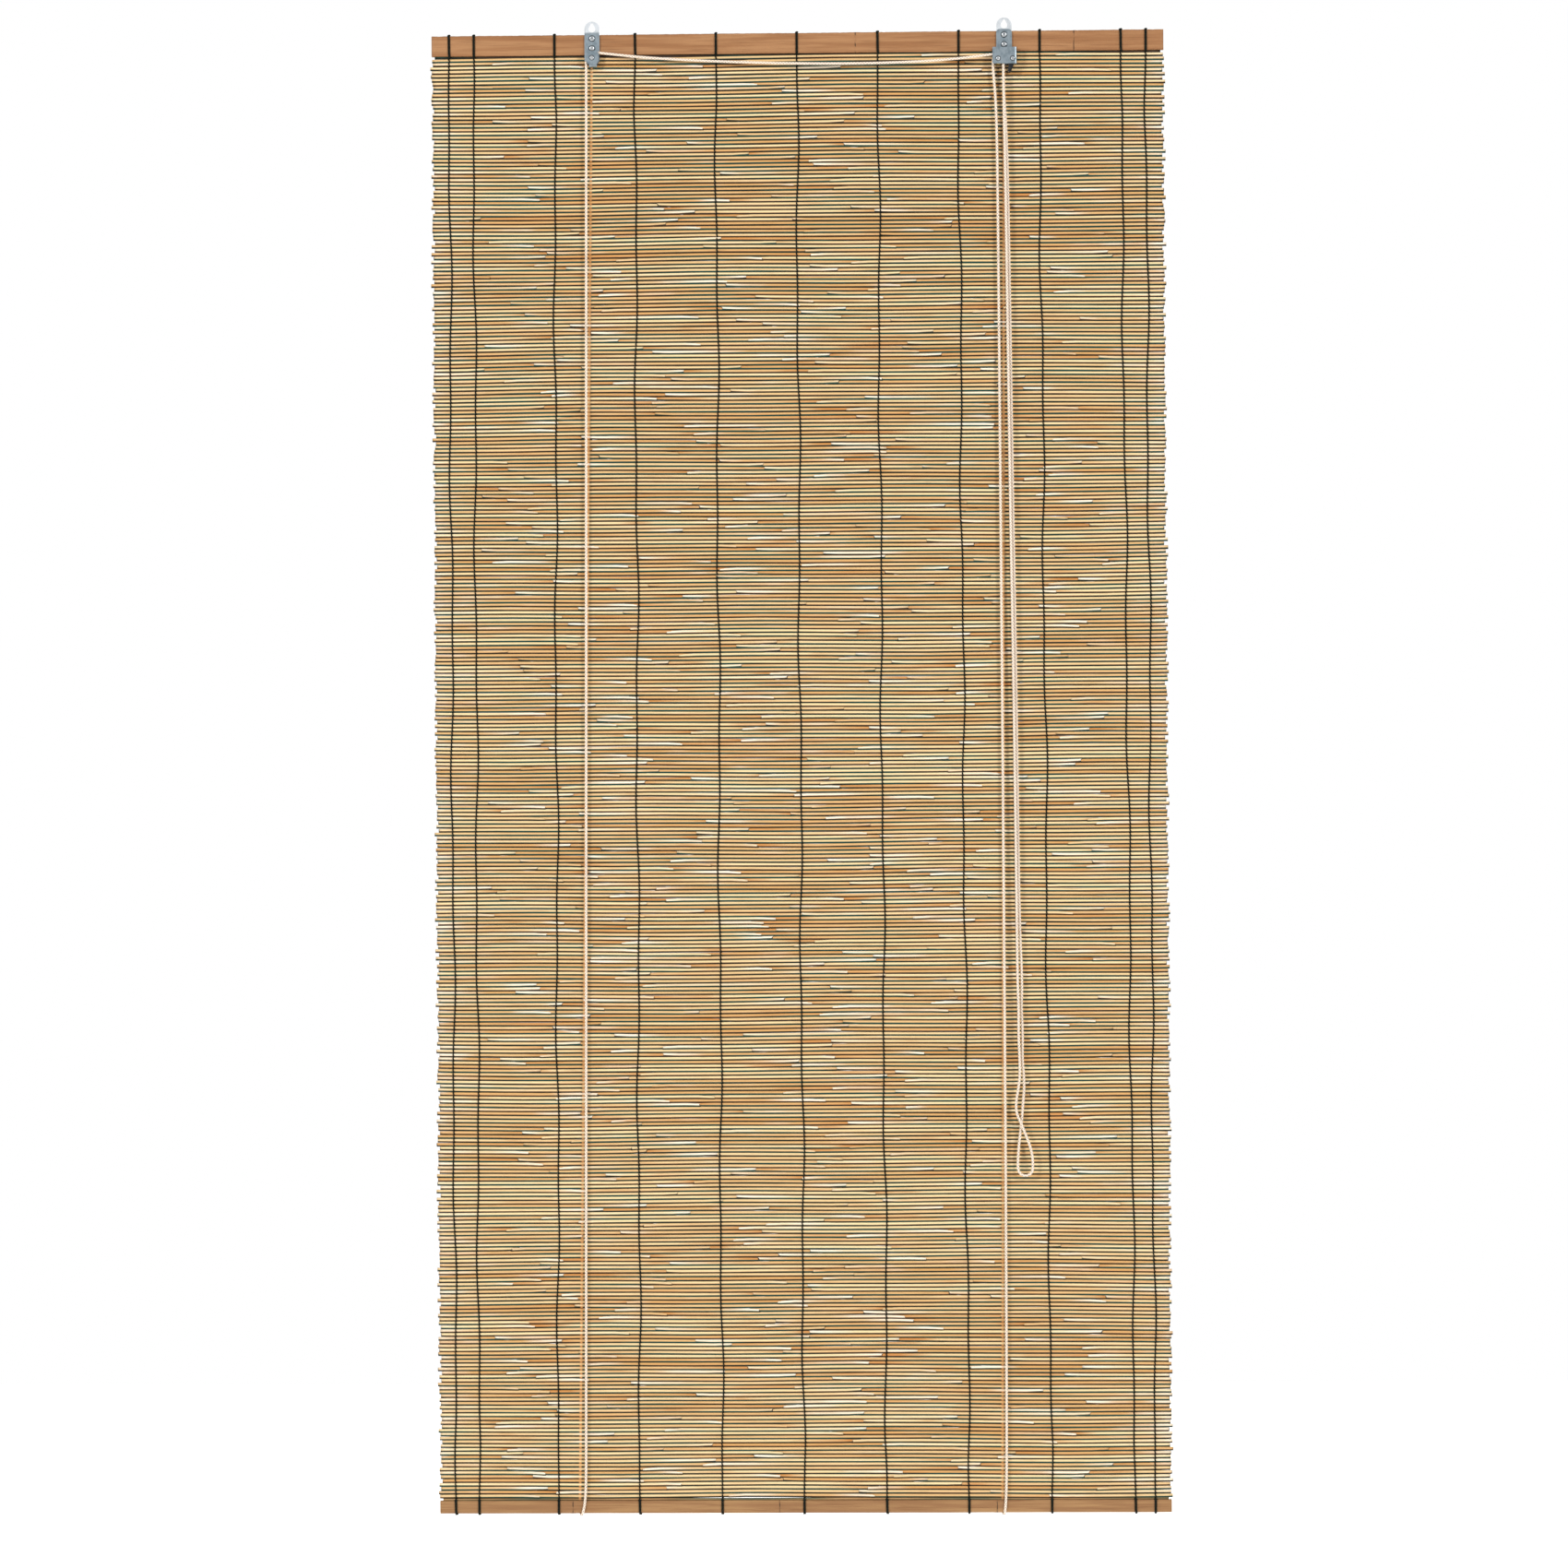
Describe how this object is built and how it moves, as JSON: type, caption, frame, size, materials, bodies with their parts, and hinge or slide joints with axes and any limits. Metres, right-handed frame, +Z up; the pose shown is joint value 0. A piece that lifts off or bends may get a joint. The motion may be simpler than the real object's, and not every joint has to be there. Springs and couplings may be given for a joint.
{
  "type": "bamboo roll up blind",
  "caption": "Reed mat between two bamboo slats that rolls up on a reeved cord, with a hooked pulley, a cam cord lock and a hanging pull loop.",
  "frame": {"origin": "midway between the two hanger eyes, at the height where a hook bears on them, in the middle plane of the reed mat", "axes": "+X across the window, +Y towards the window, -Y into the room, +Z up"},
  "size_m": [1.003, 0.0309, 2.0444],
  "materials": {
    "reed": "raw split bamboo reed, mottled straw and olive",
    "rail": "planed bamboo slat, carbonised brown",
    "thread": "twisted black cotton thread",
    "zinc_steel": "bright zinc plated pressed steel",
    "rivet_steel": "zinc plated rivet and screw steel",
    "sheave": "turned",
    "cam_steel": "blackened cast metal",
    "cord": "braided ecru cotton"
  },
  "bodies": {
    "root": {"headrail": "rail", "reed_band_01": "reed", "warp_threads": "thread", "headrail_lashings": "thread", "left_hanger": "zinc_steel", "right_hanger": "zinc_steel", "pulley_bracket": "zinc_steel", "pulley_axle": "rivet_steel", "lock_housing": "zinc_steel", "lock_sheave_axle": "rivet_steel", "lock_cam_pin": "rivet_steel", "hardware_screws": "rivet_steel", "cord_staples": "rivet_steel", "lift_cord_left": "cord", "lift_cord_right": "cord", "cross_cord": "cord", "pull_cord": "cord"},
    "band_02": {"reed_band_02": "reed"},
    "band_03": {"reed_band_03": "reed"},
    "band_04": {"reed_band_04": "reed"},
    "band_05": {"reed_band_05": "reed"},
    "band_06": {"reed_band_06": "reed"},
    "band_07": {"reed_band_07": "reed"},
    "band_08": {"reed_band_08": "reed"},
    "band_09": {"reed_band_09": "reed"},
    "band_10": {"reed_band_10": "reed"},
    "band_11": {"reed_band_11": "reed"},
    "band_12": {"reed_band_12": "reed"},
    "band_13": {"reed_band_13": "reed"},
    "band_14": {"reed_band_14": "reed"},
    "band_15": {"reed_band_15": "reed"},
    "band_16": {"reed_band_16": "reed"},
    "band_17": {"reed_band_17": "reed"},
    "band_18": {"reed_band_18": "reed"},
    "band_19": {"reed_band_19": "reed"},
    "band_20": {"reed_band_20": "reed"},
    "band_21": {"reed_band_21": "reed"},
    "band_22": {"reed_band_22": "reed"},
    "band_23": {"reed_band_23": "reed"},
    "band_24": {"reed_band_24": "reed"},
    "band_25": {"reed_band_25": "reed"},
    "band_26": {"reed_band_26": "reed"},
    "band_27": {"reed_band_27": "reed"},
    "band_28": {"reed_band_28": "reed"},
    "band_29": {"reed_band_29": "reed"},
    "band_30": {"reed_band_30": "reed"},
    "band_31": {"reed_band_31": "reed"},
    "band_32": {"reed_band_32": "reed"},
    "bottom": {"bottom_rail": "rail", "bottom_rail_lashings": "thread"},
    "pulley_wheel": {"pulley_sheave": "sheave"},
    "lock_rear_wheel": {"lock_rear_sheave": "sheave"},
    "lock_front_wheel": {"lock_front_sheave": "sheave"},
    "cam": {"lock_cam": "cam_steel"}
  },
  "joints": [
    {"name": "roll_01", "type": "hinge", "parent": "root", "child": "band_02", "pos_m": [0, 0.001, -0.1786], "axis": [1, 0, 0], "range_deg": [0, 90], "deforming": ["reed_band_01", "reed_band_02", "reed_band_03", "reed_band_04", "reed_band_05", "reed_band_06", "reed_band_07", "reed_band_08", "reed_band_09", "reed_band_10", "reed_band_11", "reed_band_12", "reed_band_13", "reed_band_14", "reed_band_15", "reed_band_16", "reed_band_17", "reed_band_18", "reed_band_19", "reed_band_20", "reed_band_21", "reed_band_22", "reed_band_23", "reed_band_24", "reed_band_25", "reed_band_26", "reed_band_27", "reed_band_28", "reed_band_29", "reed_band_30", "reed_band_31", "reed_band_32", "warp_threads", "lift_cord_left", "lift_cord_right"]},
    {"name": "roll_02", "type": "hinge", "parent": "band_02", "child": "band_03", "pos_m": [0, 0.001, -0.274], "axis": [1, 0, 0], "range_deg": [0, 90]},
    {"name": "roll_03", "type": "hinge", "parent": "band_03", "child": "band_04", "pos_m": [0, 0.001, -0.3747], "axis": [1, 0, 0], "range_deg": [0, 90]},
    {"name": "roll_04", "type": "hinge", "parent": "band_04", "child": "band_05", "pos_m": [0, 0.001, -0.4648], "axis": [1, 0, 0], "range_deg": [0, 90]},
    {"name": "roll_05", "type": "hinge", "parent": "band_05", "child": "band_06", "pos_m": [0, 0.001, -0.5602], "axis": [1, 0, 0], "range_deg": [0, 90]},
    {"name": "roll_06", "type": "hinge", "parent": "band_06", "child": "band_07", "pos_m": [0, 0.001, -0.645], "axis": [1, 0, 0], "range_deg": [0, 90]},
    {"name": "roll_07", "type": "hinge", "parent": "band_07", "child": "band_08", "pos_m": [0, 0.001, -0.7351], "axis": [1, 0, 0], "range_deg": [0, 90]},
    {"name": "roll_08", "type": "hinge", "parent": "band_08", "child": "band_09", "pos_m": [0, 0.001, -0.8146], "axis": [1, 0, 0], "range_deg": [0, 90]},
    {"name": "roll_09", "type": "hinge", "parent": "band_09", "child": "band_10", "pos_m": [0, 0.001, -0.8994], "axis": [1, 0, 0], "range_deg": [0, 90]},
    {"name": "roll_10", "type": "hinge", "parent": "band_10", "child": "band_11", "pos_m": [0, 0.001, -0.9736], "axis": [1, 0, 0], "range_deg": [0, 90]},
    {"name": "roll_11", "type": "hinge", "parent": "band_11", "child": "band_12", "pos_m": [0, 0.001, -1.0531], "axis": [1, 0, 0], "range_deg": [0, 90]},
    {"name": "roll_12", "type": "hinge", "parent": "band_12", "child": "band_13", "pos_m": [0, 0.001, -1.122], "axis": [1, 0, 0], "range_deg": [0, 90]},
    {"name": "roll_13", "type": "hinge", "parent": "band_13", "child": "band_14", "pos_m": [0, 0.001, -1.1962], "axis": [1, 0, 0], "range_deg": [0, 90]},
    {"name": "roll_14", "type": "hinge", "parent": "band_14", "child": "band_15", "pos_m": [0, 0.001, -1.2598], "axis": [1, 0, 0], "range_deg": [0, 90]},
    {"name": "roll_15", "type": "hinge", "parent": "band_15", "child": "band_16", "pos_m": [0, 0.001, -1.3287], "axis": [1, 0, 0], "range_deg": [0, 90]},
    {"name": "roll_16", "type": "hinge", "parent": "band_16", "child": "band_17", "pos_m": [0, 0.001, -1.387], "axis": [1, 0, 0], "range_deg": [0, 90]},
    {"name": "roll_17", "type": "hinge", "parent": "band_17", "child": "band_18", "pos_m": [0, 0.001, -1.4506], "axis": [1, 0, 0], "range_deg": [0, 90]},
    {"name": "roll_18", "type": "hinge", "parent": "band_18", "child": "band_19", "pos_m": [0, 0.001, -1.5036], "axis": [1, 0, 0], "range_deg": [0, 90]},
    {"name": "roll_19", "type": "hinge", "parent": "band_19", "child": "band_20", "pos_m": [0, 0.001, -1.5619], "axis": [1, 0, 0], "range_deg": [0, 90]},
    {"name": "roll_20", "type": "hinge", "parent": "band_20", "child": "band_21", "pos_m": [0, 0.001, -1.6096], "axis": [1, 0, 0], "range_deg": [0, 90]},
    {"name": "roll_21", "type": "hinge", "parent": "band_21", "child": "band_22", "pos_m": [0, 0.001, -1.6626], "axis": [1, 0, 0], "range_deg": [0, 90]},
    {"name": "roll_22", "type": "hinge", "parent": "band_22", "child": "band_23", "pos_m": [0, 0.001, -1.705], "axis": [1, 0, 0], "range_deg": [0, 90]},
    {"name": "roll_23", "type": "hinge", "parent": "band_23", "child": "band_24", "pos_m": [0, 0.001, -1.7527], "axis": [1, 0, 0], "range_deg": [0, 90]},
    {"name": "roll_24", "type": "hinge", "parent": "band_24", "child": "band_25", "pos_m": [0, 0.001, -1.7898], "axis": [1, 0, 0], "range_deg": [0, 90]},
    {"name": "roll_25", "type": "hinge", "parent": "band_25", "child": "band_26", "pos_m": [0, 0.001, -1.8322], "axis": [1, 0, 0], "range_deg": [0, 90]},
    {"name": "roll_26", "type": "hinge", "parent": "band_26", "child": "band_27", "pos_m": [0, 0.001, -1.864], "axis": [1, 0, 0], "range_deg": [0, 90]},
    {"name": "roll_27", "type": "hinge", "parent": "band_27", "child": "band_28", "pos_m": [0, 0.001, -1.9011], "axis": [1, 0, 0], "range_deg": [0, 90]},
    {"name": "roll_28", "type": "hinge", "parent": "band_28", "child": "band_29", "pos_m": [0, 0.001, -1.9276], "axis": [1, 0, 0], "range_deg": [0, 90]},
    {"name": "roll_29", "type": "hinge", "parent": "band_29", "child": "band_30", "pos_m": [0, 0.001, -1.9594], "axis": [1, 0, 0], "range_deg": [0, 90]},
    {"name": "roll_30", "type": "hinge", "parent": "band_30", "child": "band_31", "pos_m": [0, 0.001, -1.9806], "axis": [1, 0, 0], "range_deg": [0, 90]},
    {"name": "roll_31", "type": "hinge", "parent": "band_31", "child": "band_32", "pos_m": [0, 0.001, -2.0071], "axis": [1, 0, 0], "range_deg": [0, 90]},
    {"name": "roll_32", "type": "hinge", "parent": "band_32", "child": "bottom", "pos_m": [0, 0.001, -2.0177], "axis": [1, 0, 0], "range_deg": [0, 90]},
    {"name": "pulley_spin", "type": "hinge", "parent": "root", "child": "pulley_wheel", "pos_m": [-0.28, -0.00895, -0.048], "axis": [0, 1, 0], "continuous": true},
    {"name": "lock_rear_spin", "type": "hinge", "parent": "root", "child": "lock_rear_wheel", "pos_m": [0.2747, -0.00895, -0.055], "axis": [0, 1, 0], "continuous": true},
    {"name": "lock_front_spin", "type": "hinge", "parent": "root", "child": "lock_front_wheel", "pos_m": [0.2747, -0.01415, -0.055], "axis": [0, 1, 0], "continuous": true},
    {"name": "cam_swing", "type": "hinge", "parent": "root", "child": "cam", "pos_m": [0.2945, -0.01155, -0.055], "axis": [0, -1, 0], "range_deg": [0, 20]}
  ],
  "couplings": [
    {"joint": "roll_02", "follows": "roll_01", "ratio": 1},
    {"joint": "roll_03", "follows": "roll_01", "ratio": 1},
    {"joint": "roll_04", "follows": "roll_01", "ratio": 1},
    {"joint": "roll_05", "follows": "roll_01", "ratio": 1},
    {"joint": "roll_06", "follows": "roll_01", "ratio": 1},
    {"joint": "roll_07", "follows": "roll_01", "ratio": 1},
    {"joint": "roll_08", "follows": "roll_01", "ratio": 1},
    {"joint": "roll_09", "follows": "roll_01", "ratio": 1},
    {"joint": "roll_10", "follows": "roll_01", "ratio": 1},
    {"joint": "roll_11", "follows": "roll_01", "ratio": 1},
    {"joint": "roll_12", "follows": "roll_01", "ratio": 1},
    {"joint": "roll_13", "follows": "roll_01", "ratio": 1},
    {"joint": "roll_14", "follows": "roll_01", "ratio": 1},
    {"joint": "roll_15", "follows": "roll_01", "ratio": 1},
    {"joint": "roll_16", "follows": "roll_01", "ratio": 1},
    {"joint": "roll_17", "follows": "roll_01", "ratio": 1},
    {"joint": "roll_18", "follows": "roll_01", "ratio": 1},
    {"joint": "roll_19", "follows": "roll_01", "ratio": 1},
    {"joint": "roll_20", "follows": "roll_01", "ratio": 1},
    {"joint": "roll_21", "follows": "roll_01", "ratio": 1},
    {"joint": "roll_22", "follows": "roll_01", "ratio": 1},
    {"joint": "roll_23", "follows": "roll_01", "ratio": 1},
    {"joint": "roll_24", "follows": "roll_01", "ratio": 1},
    {"joint": "roll_25", "follows": "roll_01", "ratio": 1},
    {"joint": "roll_26", "follows": "roll_01", "ratio": 1},
    {"joint": "roll_27", "follows": "roll_01", "ratio": 1},
    {"joint": "roll_28", "follows": "roll_01", "ratio": 1},
    {"joint": "roll_29", "follows": "roll_01", "ratio": 1},
    {"joint": "roll_30", "follows": "roll_01", "ratio": 1},
    {"joint": "roll_31", "follows": "roll_01", "ratio": 1},
    {"joint": "roll_32", "follows": "roll_01", "ratio": 1}
  ]
}
